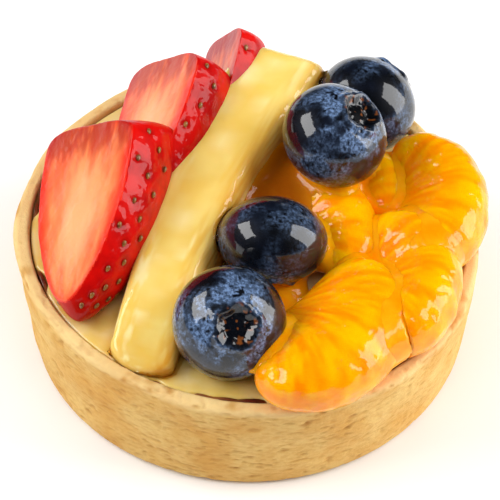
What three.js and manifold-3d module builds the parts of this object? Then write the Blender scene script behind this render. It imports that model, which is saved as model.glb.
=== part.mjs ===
// A small round fruit tart: a shortcrust case, lined with dark chocolate and filled with custard,
// under three strawberry halves, a peach slice, four blueberries and five mandarin segments.
// Millimetres, +Z up. The origin is the middle of the flat underside.
import * as THREE from "three";
import { mergeVertices } from "three/addons/utils/BufferGeometryUtils.js";
import Module from "manifold-3d";

const wasm = await Module();
wasm.setup();

// The pastry case
const RIM_RADIUS = 40;
const BASE_RADIUS = 38.3;
const CRUST_HEIGHT = 22.2;
const WALL = 2.5;
const FLOOR = 3.2;
const RIM_ROUND = 1.0;
const RIM_EDGE = 0.6;
const BASE_ROUND = 1.6;
const CRUST_SIDES = 72;

// The layers inside it
const LINING = 0.6;
const LAYER_GAP = 0.2;
const LAYER_SIDES = 60;
const CUSTARD_BELOW_RIM = 0.8;
const CUSTARD_EDGE_ROUND = 0.5;
const CUSTARD_CROWN = 0.5;
const LINING_ABOVE_CUSTARD = 0.2;

// Gaps: round fruit in its socket in the custard, and soft fruit on what presses into it
const SOCKET_GAP = 0.3;
const PRESS_GAP = 0.6;

// How soft fruit gives: as a share of the way to its heart, in steps, and less with each millimetre away
const GIVE_STEP = 0.02;
const MOST_GIVE = 0.98;
const GIVE_FALL = 0.2;
const GIVE_ROUNDS = 4;

const INNER_RADIUS = RIM_RADIUS - WALL;
const CUSTARD_EDGE_Z = CRUST_HEIGHT - CUSTARD_BELOW_RIM;

// The fruit. Each has a place, and two directions that turn it.
const BERRIES = [
  { name: "blueberry_front", at: [-3.2, -27, 30.0], radius: 9.5, flat: 0.86, calyx: [0.16, -0.68, 0.72] },
  { name: "blueberry_middle", at: [4.0, -9.3, 30.2], radius: 9.35, flat: 0.8, calyx: [-0.1, -0.75, -0.65] },
  { name: "blueberry_top", at: [14.6, 8.2, 37.2], radius: 9.2, flat: 0.9, calyx: [0.55, -0.07, 0.83] },
  { name: "blueberry_back", at: [20.6, 22.8, 29.4], radius: 9.0, flat: 0.9, calyx: [0.62, 0.7, 0.35] },
];
const STRAWBERRIES = [
  {
    name: "strawberry_front",
    stem: [-24.4, 12.3, 35.3], tip: [-28.5, -22.1, 24.4], radius: 12.4, cut: 3.4, tilt: 45, lean: [0.12, 0.36],
  },
  {
    name: "strawberry_middle",
    stem: [-12.7, 29.2, 33.3], tip: [-20.9, -3.7, 25.8], radius: 11.3, cut: 2.1, tilt: 51, lean: [0.15, 0.12],
  },
  {
    name: "strawberry_back",
    stem: [-4.3, 36.6, 32.9], tip: [-8.8, 12.7, 25.3], radius: 7.8, cut: -0.2, tilt: 63, lean: [0.1, 0.1],
  },
];
const SEGMENTS = [
  {
    name: "mandarin_front",
    at: [3.9, -21.4, 27.4], bearing: -32, reach: 14.0, span: 70, width: 9.0, inner: 13.4, height: 7.6,
  },
  {
    name: "mandarin_right",
    at: [17.0, -15.9, 27.6], bearing: -10, reach: 11.9, span: 83, width: 6.9, inner: 8, height: 7.6,
  },
  {
    name: "mandarin_far",
    at: [21.6, 0.3, 28.0], bearing: 1, reach: 12.7, span: 74, width: 6.8, inner: 10.5, height: 7.8,
  },
  {
    name: "mandarin_hidden",
    at: [12.5, 0.5, 26.2], bearing: 52, reach: 11, span: 56, width: 5.8, inner: 6.6, height: 5.3,
  },
  {
    name: "mandarin_middle",
    at: [3.3, -6.4, 26.4], bearing: 24, reach: 13, span: 60, width: 6.2, inner: 8.5, height: 5.8,
  },
];
const PEACH = {
  front: [-18.4, -31.5], back: [8.0, 33.9], bow: 2.7, height: 12.8, halfWidths: [5.7, 6.1, 7.0, 8.2, 8.2],
};

const point = (x, y, z) => new THREE.Vector3(x, y, z);
const { lerp, clamp, smoothstep, degToRad: degrees } = THREE.MathUtils;

// The case isn't quite round or level: shares of the radius, and millimetres of height, by direction.
const roundness = (angle) => 1 - 0.016 * Math.sin(2 * angle) - 0.012 * Math.cos(3 * angle);
const rimLift = (angle) => -0.38 * Math.cos(angle) - 0.28 * Math.cos(2 * angle);

// Fits a point of a true round case to the uneven one.
function settleInCase(p) {
  const angle = Math.atan2(p.y, p.x);
  const share = clamp((p.z - FLOOR) / (CRUST_HEIGHT - FLOOR), 0, 1);
  const outwards = Math.min(Math.hypot(p.x, p.y) / INNER_RADIUS, 1);
  const stretch = lerp(1, roundness(angle), share);
  p.x *= stretch;
  p.y *= stretch;
  p.z += rimLift(angle) * share * outwards;
}

// Height of the custard's top at a distance from the middle, in the true round case.
function custardTop(distance) {
  return CUSTARD_EDGE_Z + CUSTARD_CROWN * (1 - (distance / INNER_RADIUS) ** 2);
}

// Height of whatever soft fruit lies on, at a place: the custard, or the rim of the case.
function supportTop(x, y) {
  const angle = Math.atan2(y, x);
  const distance = Math.hypot(x, y) / roundness(angle);
  const onRim = smoothstep(distance, INNER_RADIUS - 2.2, INNER_RADIUS - 0.2);
  const level = lerp(custardTop(Math.min(distance, INNER_RADIUS)), CRUST_HEIGHT, onRim);
  return level + rimLift(angle) * Math.min(distance / INNER_RADIUS, 1);
}

// A closed geometry through rings of equally many points, with one point at either end.
function closedLoft(first, rings, last) {
  const sides = rings[0].length;
  const points = [first, ...rings.flat(), last];
  const index = [];
  const at = (ring, side) => 1 + ring * sides + (side % sides);
  for (let side = 0; side < sides; side++) {
    index.push(0, at(0, side + 1), at(0, side));
    index.push(points.length - 1, at(rings.length - 1, side), at(rings.length - 1, side + 1));
    for (let ring = 0; ring + 1 < rings.length; ring++) {
      index.push(at(ring, side), at(ring, side + 1), at(ring + 1, side + 1));
      index.push(at(ring, side), at(ring + 1, side + 1), at(ring + 1, side));
    }
  }
  return new THREE.BufferGeometry().setFromPoints(points).setIndex(index);
}

// A geometry with one vertex at each corner, as a closed solid needs
function welded(geometry) {
  geometry.deleteAttribute("normal");
  geometry.deleteAttribute("uv");
  return mergeVertices(geometry, 1e-4);
}

// A profile of [radius, height] pairs, from the axis round to the axis, turned about +Z.
function turned(profile, sides) {
  const flat = profile.map(([radius, height]) => new THREE.Vector2(radius, height));
  return welded(new THREE.LatheGeometry(flat, sides).rotateX(Math.PI / 2));
}

// Moves each point of a geometry with a function that changes the point it gets.
function reshape(geometry, move) {
  const positions = geometry.getAttribute("position");
  const p = point(0, 0, 0);
  for (let i = 0; i < positions.count; i++) {
    p.fromBufferAttribute(positions, i);
    move(p);
    positions.setXYZ(i, p.x, p.y, p.z);
  }
  return geometry;
}

// A geometry as a solid, moved by a frame and grown outwards by a margin.
function solidOf(geometry, frame = new THREE.Matrix4(), margin = 0) {
  const grown = geometry.clone().applyMatrix4(frame);
  grown.computeVertexNormals();
  const positions = grown.getAttribute("position").array;
  const normals = grown.getAttribute("normal").array;
  const vertProperties = positions.map((value, i) => value + margin * normals[i]);
  const triVerts = new Uint32Array(grown.index.array);
  return new wasm.Manifold(new wasm.Mesh({ numProp: 3, vertProperties, triVerts }));
}

function geometryOf(solid) {
  const mesh = solid.getMesh();
  const geometry = new THREE.BufferGeometry();
  geometry.setAttribute("position", new THREE.BufferAttribute(mesh.vertProperties, 3));
  return geometry.setIndex(new THREE.BufferAttribute(mesh.triVerts, 1));
}

// A frame at a place, with local X along one direction and local Z as near as it can be to another.
function frameAt(at, along, facing) {
  const x = point(...along).normalize();
  const y = point(...facing).cross(x).normalize();
  const z = new THREE.Vector3().crossVectors(x, y);
  return new THREE.Matrix4().makeBasis(x, y, z).setPosition(point(...at));
}

function mesh(name, geometry, material, frame = new THREE.Matrix4()) {
  geometry.computeVertexNormals();
  const made = new THREE.Mesh(geometry, material);
  made.name = name;
  frame.decompose(made.position, made.quaternion, made.scale);
  return made;
}

// The case: floor, leaning wall and rounded rim, all a little rough as baked pastry is
const CRUST_RELIEF = 0.12;
function roughen(p) {
  const angle = Math.atan2(p.y, p.x);
  const waves = Math.sin(5 * angle + 0.5 * p.z) + Math.sin(9 * angle - 0.7 * p.z) + Math.sin(14 * angle + 0.4 * p.z);
  const outside = smoothstep(Math.hypot(p.x, p.y), INNER_RADIUS + 0.3, INNER_RADIUS + 1);
  const share = smoothstep(p.z, 0.5, 4) * outside;
  const stretch = 1 + (CRUST_RELIEF * waves * share) / RIM_RADIUS;
  p.x *= stretch;
  p.y *= stretch;
}

function crustGeometry() {
  const round = (radius, height, size, from, steps) =>
    Array.from({ length: steps + 1 }, (_, i) => {
      const a = degrees(from + (90 * i) / steps);
      return [radius + size * Math.cos(a), height + size * Math.sin(a)];
    });
  const wall = [0.25, 0.5, 0.75].map((share) => [
    lerp(BASE_RADIUS, RIM_RADIUS, share),
    lerp(BASE_ROUND, CRUST_HEIGHT - RIM_ROUND, share),
  ]);
  const profile = [
    [0, 0],
    ...round(BASE_RADIUS - BASE_ROUND, BASE_ROUND, BASE_ROUND, -90, 2),
    ...wall,
    ...round(RIM_RADIUS - RIM_ROUND, CRUST_HEIGHT - RIM_ROUND, RIM_ROUND, 0, 2),
    ...round(INNER_RADIUS + RIM_EDGE, CRUST_HEIGHT - RIM_EDGE, RIM_EDGE, 90, 2),
    [BASE_RADIUS - WALL, FLOOR],
    [0, FLOOR],
  ];
  return reshape(reshape(turned(profile, CRUST_SIDES), roughen), settleInCase);
}

// The thin chocolate coat on the inside of the case, and the custard that fills it
function innerWallRadius(z) {
  const share = (z - FLOOR) / (CRUST_HEIGHT - RIM_EDGE - FLOOR);
  return lerp(BASE_RADIUS - WALL, INNER_RADIUS, share);
}

function liningGeometry() {
  const top = CUSTARD_EDGE_Z + LINING_ABOVE_CUSTARD;
  const bottom = FLOOR + LAYER_GAP;
  const profile = [
    [0, bottom],
    [innerWallRadius(bottom) - LAYER_GAP, bottom],
    [innerWallRadius(top) - LAYER_GAP, top],
    [innerWallRadius(top) - LAYER_GAP - LINING, top],
    [innerWallRadius(bottom + LINING) - LAYER_GAP - LINING, bottom + LINING],
    [0, bottom + LINING],
  ];
  return reshape(turned(profile, LAYER_SIDES), settleInCase);
}

function custardGeometry() {
  const bottom = FLOOR + 2 * LAYER_GAP + LINING;
  const inset = 2 * LAYER_GAP + LINING;
  const edge = CUSTARD_EDGE_Z - CUSTARD_EDGE_ROUND;
  const profile = [
    [0, bottom],
    [innerWallRadius(bottom) - inset, bottom],
    [innerWallRadius(edge) - inset, edge],
    [innerWallRadius(CUSTARD_EDGE_Z) - inset - CUSTARD_EDGE_ROUND, CUSTARD_EDGE_Z],
    ...[0.75, 0.4].map((share) => [INNER_RADIUS * share, custardTop(INNER_RADIUS * share)]),
    [0, custardTop(0)],
  ];
  return reshape(turned(profile, LAYER_SIDES), settleInCase);
}

// A blueberry: a slightly flat ball about local Z, with a five-lobed crown round a pit at the top
const CROWN = { angle: degrees(23), spread: degrees(5), rise: 0.6, pit: 1.3, lobes: 5 };
const BERRY_RING_ANGLES = [7, 14, 19, 23, 28, 37, 51, 67, 83, 99, 115, 131, 147, 164];
const BERRY_SIDES = 20;

function berryPoint({ radius, flat }, polar, turn) {
  const crown = Math.exp(-(((polar - CROWN.angle) / CROWN.spread) ** 2));
  const lobes = 0.6 + 0.4 * Math.cos(CROWN.lobes * turn);
  const inside = 1 - smoothstep(polar, CROWN.angle - degrees(10), CROWN.angle - degrees(2));
  const out = radius + CROWN.rise * crown * lobes - CROWN.pit * inside;
  return point(
    out * Math.sin(polar) * Math.cos(turn),
    out * Math.sin(polar) * Math.sin(turn),
    out * Math.cos(polar) * flat,
  );
}

function berryGeometry(berry) {
  const rings = BERRY_RING_ANGLES.map((polar) =>
    Array.from({ length: BERRY_SIDES }, (_, i) =>
      berryPoint(berry, degrees(polar), (-2 * Math.PI * i) / BERRY_SIDES),
    ),
  );
  return closedLoft(berryPoint(berry, 0, 0), rings, berryPoint(berry, Math.PI, 0));
}

const berryHolds = ({ radius, flat }) => (p, gap) => Math.hypot(p.x, p.y, p.z / flat) < radius + gap;

// A strawberry piece: a blunt cone along local X, from the stem end to the tip, cut flat parallel to
// its axis. Local Z points out of the cut face. The stem end leans, by a share of local Y and of local Z.
const STRAWBERRY_RINGS = 13;
const STRAWBERRY_SIDES = 18;
const WIDEST = 0.2;
const STEM_BLUNTNESS = 4.2;
const TIP_TAPER = 1.9;
const TIP_BLUNTNESS = 0.7;

function strawberryRadius(radius, share) {
  const stemSide = (1 - (1 - Math.min(share / WIDEST, 1)) ** STEM_BLUNTNESS) ** (1 / STEM_BLUNTNESS);
  const tipSide = (1 - Math.max((share - WIDEST) / (1 - WIDEST), 0) ** TIP_TAPER) ** TIP_BLUNTNESS;
  return radius * stemSide * tipSide;
}

function strawberrySkin({ length, radius, lean }, share, turn) {
  const r = strawberryRadius(radius, share);
  const p = point(share * length, r * Math.cos(turn), r * Math.sin(turn));
  p.x += (1 - share) * (lean[0] * p.y + lean[1] * p.z);
  return p;
}

function strawberryGeometry(berry) {
  const rings = Array.from({ length: STRAWBERRY_RINGS }, (_, i) => {
    const share = (1 - Math.cos((Math.PI * (i + 1)) / (STRAWBERRY_RINGS + 1))) / 2;
    return Array.from({ length: STRAWBERRY_SIDES }, (_, j) =>
      strawberrySkin(berry, share, (2 * Math.PI * j) / STRAWBERRY_SIDES),
    );
  });
  const whole = closedLoft(point(0, 0, 0), rings, point(berry.length, 0, 0));
  const knife = welded(new THREE.BoxGeometry(3 * berry.length, 4 * berry.radius, 2 * berry.radius));
  knife.translate(0, 0, berry.cut + berry.radius);
  return geometryOf(solidOf(whole).subtract(solidOf(knife)));
}

const strawberryHolds = ({ length, radius, cut, lean }) => (p, gap) => {
  const leaning = lean[0] * p.y + lean[1] * p.z;
  const share = clamp((p.x - leaning) / (length - leaning), 0, 1);
  return p.z < cut + gap && Math.hypot(p.y, p.z) < strawberryRadius(radius, share) + gap;
};

// Seeds sit all over the skin in a spiral, half sunk in it.
const SEED = { length: 0.58, width: 0.38, thickness: 0.28 };
const SEED_TURN = Math.PI * (3 - Math.sqrt(5));
const SEEDS_ROUND = 140;

function seedGeometry() {
  const rings = [0.5, 0, -0.5].map((along) =>
    Array.from({ length: 5 }, (_, i) => {
      const turn = (-2 * Math.PI * i) / 5;
      const r = Math.sqrt(1 - along * along);
      return point(along * SEED.length, r * SEED.width * Math.cos(turn), r * SEED.thickness * Math.sin(turn));
    }),
  );
  return closedLoft(point(SEED.length, 0, 0), rings, point(-SEED.length, 0, 0));
}

function seedFrames(berry, isHidden) {
  const frames = [];
  for (let i = 0; i < SEEDS_ROUND; i++) {
    const share = lerp(0.06, 0.95, (i + 0.5) / SEEDS_ROUND) ** 0.9;
    const turn = i * SEED_TURN;
    const at = strawberrySkin(berry, share, turn);
    if (at.z > berry.cut - 0.9 || isHidden(at)) continue;
    const ahead = strawberrySkin(berry, share + 0.01, turn).sub(at);
    const outwards = point(0, Math.cos(turn), Math.sin(turn));
    frames.push(frameAt(at.toArray(), ahead.toArray(), outwards.toArray()));
  }
  return frames;
}

// A mandarin segment: a rounded wedge that bends about the local origin, in the local XY plane.
// Local X points at its middle. The side towards the origin is longer and droops.
const SEGMENT_RINGS = 14;
const SEGMENT_SIDES = 18;
const INNER_THINNING = 0.24;
const INNER_DROOP = 3;

function segmentSection(turn) {
  const thick = 1 - INNER_THINNING + INNER_THINNING * Math.cos(turn);
  return 1 / Math.hypot(Math.cos(turn), Math.sin(turn) / thick);
}
const segmentTaper = (share) => Math.sqrt(Math.max(0, 1 - Math.abs(share) ** 2.6));

// How far the segment reaches across its bend, on the side that a distance across it is on
const segmentSide = ({ width, inner }, across) => (across < 0 ? inner : width);

function segmentPoint(segment, share, turn) {
  const { reach, span, height } = segment;
  const size = segmentTaper(share) * segmentSection(turn);
  const bend = degrees(span) * share;
  const across = size * Math.cos(turn);
  const out = reach + segmentSide(segment, across) * across;
  const droop = INNER_DROOP * Math.min(across, 0) ** 2;
  return point(out * Math.cos(bend), out * Math.sin(bend), height * size * Math.sin(turn) - droop);
}

function segmentGeometry(segment) {
  const rings = Array.from({ length: SEGMENT_RINGS }, (_, i) => {
    const share = Math.cos((Math.PI * (i + 1)) / (SEGMENT_RINGS + 1));
    return Array.from({ length: SEGMENT_SIDES }, (_, j) =>
      segmentPoint(segment, share, (2 * Math.PI * j) / SEGMENT_SIDES),
    );
  });
  return closedLoft(segmentPoint(segment, 1, 0), rings, segmentPoint(segment, -1, 0));
}

const segmentHolds = (segment) => (p, gap) => {
  const { reach, span, height } = segment;
  const bend = Math.atan2(p.y, p.x);
  const taper = segmentTaper(bend / (degrees(span) + gap / reach));
  const out = Math.hypot(p.x, p.y) - reach;
  const side = segmentSide(segment, out);
  const across = out / (side * taper + gap);
  const above = (p.z + INNER_DROOP * Math.min(out / side, 0) ** 2) / (height * taper + gap);
  return taper > 0 && Math.hypot(across, above) < segmentSection(Math.atan2(above, across));
};

// The peach slice lies flat: local X from its front to its back, local Z up from the custard. Its middle
// bows sideways, towards local Y.
const PEACH_RINGS = 17;
const PEACH_SIDES = 12;
const PEACH_SQUARENESS = 7;

function peachBow({ bow, length }, x) {
  return bow * Math.sin(Math.PI * clamp(x / length, 0, 1));
}

function peachSize({ height, halfWidths }, share) {
  const at = clamp(share, 0, 1) * (halfWidths.length - 1);
  const from = Math.min(Math.floor(at), halfWidths.length - 2);
  const width = lerp(halfWidths[from], halfWidths[from + 1], smoothstep(at - from, 0, 1));
  const front = Math.sqrt(1 - (1 - Math.min(share / 0.04, 1)) ** 2);
  const back = Math.sqrt(1 - (1 - Math.min((1 - share) / 0.08, 1)) ** 2);
  const rise = 0.15 + 0.85 * (1 - (1 - share) ** 3);
  return [width * front * back ** 0.6, height * rise * front ** 0.5 * back];
}

function peachGeometry(peach) {
  const rings = Array.from({ length: PEACH_RINGS }, (_, i) => {
    const share = (1 - Math.cos((Math.PI * (i + 1)) / (PEACH_RINGS + 1))) / 2;
    const [halfWidth, height] = peachSize(peach, share);
    const x = share * peach.length;
    const middle = peachBow(peach, x);
    const arch = Array.from({ length: PEACH_SIDES + 1 }, (_, j) => {
      const turn = (Math.PI * j) / PEACH_SIDES;
      const power = 2 / PEACH_SQUARENESS;
      const across = Math.sign(Math.cos(turn)) * Math.abs(Math.cos(turn)) ** power;
      return point(x, middle + halfWidth * across, height * Math.sin(turn) ** power);
    });
    const under = [0.5, 0, -0.5].map((across) => point(x, middle - halfWidth * across, 0));
    return [...arch, ...under];
  });
  return closedLoft(point(0, 0, 0.8), rings, point(peach.length, 0, 2));
}

const peachHolds = (peach) => (p, gap) => {
  const [halfWidth, height] = peachSize(peach, clamp(p.x / peach.length, 0, 1));
  const across = Math.abs(p.y - peachBow(peach, p.x)) / (halfWidth + gap);
  const above = Math.max(p.z, 0) / (height + gap);
  return across ** PEACH_SQUARENESS + above ** PEACH_SQUARENESS < 1;
};

// Every piece of fruit is its form, its frame, a test for points inside it, and its heart, the way to
// which its surface gives when something presses into it.
const berries = BERRIES.map((berry) => {
  const across = point(0, 0, 1).cross(point(...berry.calyx));
  const frame = frameAt(berry.at, across.toArray(), berry.calyx);
  return { ...berry, frame, geometry: berryGeometry(berry), holds: berryHolds(berry) };
});

const strawberries = STRAWBERRIES.map((spec) => {
  const along = point(...spec.tip).sub(point(...spec.stem));
  const berry = { ...spec, length: along.length() };
  const tilt = degrees(spec.tilt);
  const frame = frameAt(spec.stem, along.toArray(), [-Math.sin(tilt), 0, Math.cos(tilt)]);
  return { ...berry, frame, geometry: strawberryGeometry(berry), holds: strawberryHolds(berry) };
});

const segments = SEGMENTS.map((segment) => {
  const bearing = degrees(segment.bearing);
  const frame = frameAt(segment.at, [Math.cos(bearing), Math.sin(bearing), 0], [0, 0, 1]);
  const heart = () => point(segment.reach, 0, 0);
  return { ...segment, frame, heart, geometry: segmentGeometry(segment), holds: segmentHolds(segment) };
});

function peachSlice() {
  const start = point(...PEACH.front, CUSTARD_EDGE_Z + CUSTARD_CROWN + SOCKET_GAP);
  const along = point(...PEACH.back, start.z).sub(start);
  const slice = { ...PEACH, name: "peach_slice", length: along.length() };
  const frame = frameAt(start.toArray(), along.toArray(), [0, 0, 1]);
  const heart = (p) => point(p.x, peachBow(slice, p.x), slice.height / 2);
  return { ...slice, frame, heart, geometry: peachGeometry(slice), holds: peachHolds(slice) };
}
const peach = peachSlice();

const heldByAny = (neighbours, p, gap) =>
  neighbours.some(({ frame, holds }) => holds(p.clone().applyMatrix4(frame.clone().invert()), gap));

// Spreads how far each point gives to the points beside it, so that a pressed side is a smooth hollow.
function spreadGive(give, geometry) {
  const positions = geometry.getAttribute("position");
  const corners = geometry.index.array;
  const p = point(0, 0, 0);
  const q = point(0, 0, 0);
  for (let round = 0; round < GIVE_ROUNDS; round++) {
    for (let i = 0; i < corners.length; i++) {
      const a = corners[i];
      const b = corners[i % 3 === 2 ? i - 2 : i + 1];
      const fall = GIVE_FALL * p.fromBufferAttribute(positions, a).distanceTo(q.fromBufferAttribute(positions, b));
      give[a] = Math.max(give[a], give[b] - fall);
      give[b] = Math.max(give[b], give[a] - fall);
    }
  }
}

// Presses soft fruit in where its harder or higher neighbours are, and up off what it lies on.
function press(soft, neighbours) {
  const back = soft.frame.clone().invert();
  const moved = (p, share) => {
    const heart = soft.heart(p).applyMatrix4(soft.frame);
    return p.clone().applyMatrix4(soft.frame).lerp(heart, share);
  };
  const give = [];
  reshape(soft.geometry, (p) => {
    let share = 0;
    while (share < MOST_GIVE && heldByAny(neighbours, moved(p, share), PRESS_GAP)) share += GIVE_STEP;
    give.push(share);
  });
  spreadGive(give, soft.geometry);
  let i = 0;
  reshape(soft.geometry, (p) => {
    p.copy(moved(p, give[i++]));
    p.z = Math.max(p.z, supportTop(p.x, p.y) + PRESS_GAP);
    p.applyMatrix4(back);
  });
}

// Cuts room for the neighbours out of a solid in the tart's own frame.
function makeRoom(solid, neighbours) {
  return neighbours.reduce((rest, { geometry, frame }) => rest.subtract(solidOf(geometry, frame, SOCKET_GAP)), solid);
}

// A strawberry piece with room for the harder pieces, and with seeds wherever it isn't against another
function seededStrawberry(berry, harder, others) {
  const isHidden = (at) => {
    const p = at.clone().applyMatrix4(berry.frame);
    return p.z < supportTop(p.x, p.y) + 1 || heldByAny(others, p, 1.2);
  };
  const body = makeRoom(solidOf(berry.geometry, berry.frame), harder);
  const seeded = seedFrames(berry, isHidden).reduce(
    (rest, frame) => rest.add(solidOf(seedGeometry(), berry.frame.clone().multiply(frame))),
    body,
  );
  return geometryOf(seeded).applyMatrix4(berry.frame.clone().invert());
}

const materials = {
  crust: new THREE.MeshStandardMaterial({ color: 0xe2b96a, roughness: 0.85 }),
  chocolate: new THREE.MeshStandardMaterial({ color: 0x5a2415, roughness: 0.4 }),
  custard: new THREE.MeshStandardMaterial({ color: 0xf3d68a, roughness: 0.35 }),
  strawberry: new THREE.MeshStandardMaterial({ color: 0xc4161c, roughness: 0.2 }),
  peach: new THREE.MeshStandardMaterial({ color: 0xf2cf63, roughness: 0.2 }),
  blueberry: new THREE.MeshStandardMaterial({ color: 0x2a3550, roughness: 0.3 }),
  mandarin: new THREE.MeshStandardMaterial({ color: 0xf79a0c, roughness: 0.2 }),
};

function caseGroup() {
  const group = new THREE.Group();
  const filling = makeRoom(solidOf(custardGeometry()), [...berries, ...strawberries]);
  group.add(mesh("crust", crustGeometry(), materials.crust));
  group.add(mesh("chocolate_lining", liningGeometry(), materials.chocolate));
  group.add(mesh("custard", geometryOf(filling), materials.custard));
  return group;
}

function strawberryGroup() {
  const group = new THREE.Group();
  strawberries.forEach((berry, i) => {
    const harder = [...strawberries.slice(0, i), peach];
    const geometry = seededStrawberry(berry, harder, [...harder, ...strawberries.slice(i + 1)]);
    group.add(mesh(berry.name, geometry, materials.strawberry, berry.frame));
  });
  return group;
}

function blueberryGroup() {
  const group = new THREE.Group();
  for (const { name, geometry, frame } of berries) group.add(mesh(name, geometry, materials.blueberry, frame));
  return group;
}

function mandarinGroup() {
  const group = new THREE.Group();
  segments.forEach((segment, i) => {
    press(segment, [...segments.slice(0, i), peach, ...berries]);
    const body = makeRoom(solidOf(segment.geometry, segment.frame), segments.slice(0, i));
    segment.geometry = geometryOf(body).applyMatrix4(segment.frame.clone().invert());
    group.add(mesh(segment.name, segment.geometry, materials.mandarin, segment.frame));
  });
  return group;
}

press(peach, berries);
const tart = new THREE.Group();
tart.name = "fruit_tart";
tart.add(caseGroup(), strawberryGroup(), blueberryGroup(), mandarinGroup());
tart.add(mesh(peach.name, peach.geometry, materials.peach, peach.frame));

export default tart;
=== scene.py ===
import math

import bpy
import numpy as np
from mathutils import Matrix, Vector


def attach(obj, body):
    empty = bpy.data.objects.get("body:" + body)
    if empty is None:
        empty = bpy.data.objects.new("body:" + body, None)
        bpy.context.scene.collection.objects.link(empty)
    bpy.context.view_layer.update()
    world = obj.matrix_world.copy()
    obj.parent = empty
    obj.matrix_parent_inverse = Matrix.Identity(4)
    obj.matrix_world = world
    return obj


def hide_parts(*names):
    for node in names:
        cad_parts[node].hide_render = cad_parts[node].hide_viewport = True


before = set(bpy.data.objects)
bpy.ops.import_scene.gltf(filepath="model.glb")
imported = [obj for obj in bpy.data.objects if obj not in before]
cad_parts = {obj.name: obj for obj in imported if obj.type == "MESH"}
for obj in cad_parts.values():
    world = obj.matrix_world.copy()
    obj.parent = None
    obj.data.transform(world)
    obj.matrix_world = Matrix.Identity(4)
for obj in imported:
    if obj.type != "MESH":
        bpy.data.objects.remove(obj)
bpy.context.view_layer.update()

# The looks of a small fruit tart. Forms are worked out in millimetres, with the solids' own sizes, and
# become metres when a mesh is made.
MM = 0.001

# The pastry case and the layers in it
RIM_RADIUS = 40.0
BASE_RADIUS = 38.3
CRUST_HEIGHT = 22.2
WALL = 2.5
FLOOR = 3.2
RIM_ROUND = 1.0
RIM_EDGE = 0.6
BASE_ROUND = 1.6
LINING = 0.6
LAYER_GAP = 0.2
CUSTARD_BELOW_RIM = 0.8
CUSTARD_EDGE_ROUND = 0.5
CUSTARD_CROWN = 0.5
INNER_RADIUS = RIM_RADIUS - WALL
CUSTARD_EDGE_Z = CRUST_HEIGHT - CUSTARD_BELOW_RIM

# How near pressed fruit comes to its neighbour, and how its give fades over the points beside
TOUCH_GAP = 0.12
GIVE_FALL = 0.2
PRESS_STEP = 0.0125
GIVE_ROUNDS = 12

BERRIES = [
    dict(name="blueberry_front", at=(-3.2, -27, 30.0), radius=9.5, flat=0.86, calyx=(0.16, -0.68, 0.72),
         dusty=1.2),
    dict(name="blueberry_middle", at=(4.0, -9.3, 30.2), radius=9.35, flat=0.8, calyx=(-0.1, -0.75, -0.65),
         dusty=0.6),
    dict(name="blueberry_top", at=(14.6, 8.2, 37.2), radius=9.2, flat=0.9, calyx=(0.55, -0.07, 0.83),
         dusty=1.1),
    dict(name="blueberry_back", at=(20.6, 22.8, 29.4), radius=9.0, flat=0.9, calyx=(0.62, 0.7, 0.35),
         dusty=0.8),
]
STRAWBERRIES = [
    dict(name="strawberry_front", stem=(-24.4, 12.3, 35.3), tip=(-28.5, -22.1, 24.4), radius=12.4, cut=3.4,
         tilt=45, lean=(0.12, 0.36), pale=0.85),
    dict(name="strawberry_middle", stem=(-12.7, 29.2, 33.3), tip=(-20.9, -3.7, 25.8), radius=11.3, cut=2.1,
         tilt=51, lean=(0.15, 0.12), pale=1.0),
    dict(name="strawberry_back", stem=(-4.3, 36.6, 32.9), tip=(-8.8, 12.7, 25.3), radius=7.8, cut=-0.2,
         tilt=63, lean=(0.1, 0.1), pale=0.2),
]
SEGMENTS = [
    dict(name="mandarin_front", at=(3.9, -21.4, 27.4), bearing=-32, reach=14.0, span=70, width=9.0,
         inner=13.4, height=7.6),
    dict(name="mandarin_right", at=(17.0, -15.9, 27.6), bearing=-10, reach=11.9, span=83, width=6.9, inner=8,
         height=7.6),
    dict(name="mandarin_far", at=(21.6, 0.3, 28.0), bearing=1, reach=12.7, span=74, width=6.8, inner=10.5,
         height=7.8),
    dict(name="mandarin_hidden", at=(12.5, 0.5, 26.2), bearing=52, reach=11, span=56, width=5.8, inner=6.6,
         height=5.3),
    dict(name="mandarin_middle", at=(3.3, -6.4, 26.4), bearing=24, reach=13, span=60, width=6.2, inner=8.5,
         height=5.8),
]
PEACH = dict(name="peach_slice", front=(-18.4, -31.5), back=(8.0, 33.9), bow=2.7, height=12.8)
PEACH_HALF_WIDTHS = (5.7, 6.1, 7.0, 8.2, 8.2)
PEACH_START_Z = CUSTARD_EDGE_Z + CUSTARD_CROWN + 0.3


def smoothstep(x, low, high):
    t = np.clip((x - low) / (high - low), 0, 1)
    return t * t * (3 - 2 * t)


def lerp(a, b, share):
    return a + (b - a) * share


def unit(vector):
    return np.array(vector, float) / np.linalg.norm(vector)


def stack(*parts):
    """Points from their coordinates, which may be single numbers."""
    return np.stack(np.broadcast_arrays(*parts), axis=-1)


def directions(vectors):
    """Vectors brought to length 1, apart from very short ones."""
    return vectors / np.maximum(np.linalg.norm(vectors, axis=-1), 0.3)[..., None]


def turns(sides):
    return 2 * np.pi * np.arange(sides) / sides


def angle_of(points):
    return np.arctan2(points[..., 1], points[..., 0])


def from_axis(points):
    return np.hypot(points[..., 0], points[..., 1])


# Smooth noise from a box of seeded random numbers
LATTICE_SIZE = 64
LATTICE = np.random.default_rng(11).random((LATTICE_SIZE,) * 3)


def noise(points, size, seed=0):
    """Noise from -1 to 1, with blobs about size across: one number, or one for each axis."""
    place = points / size + 19.7 * seed + 211
    cell = np.floor(place).astype(int)
    t = place - cell
    t = t * t * (3 - 2 * t)
    total = np.zeros(points.shape[:-1])
    for corner in np.ndindex(2, 2, 2):
        at = (cell + corner) % LATTICE_SIZE
        weight = np.prod(np.where(corner, t, 1 - t), axis=-1)
        total += weight * LATTICE[at[..., 0], at[..., 1], at[..., 2]]
    return 2 * total - 1


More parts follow.
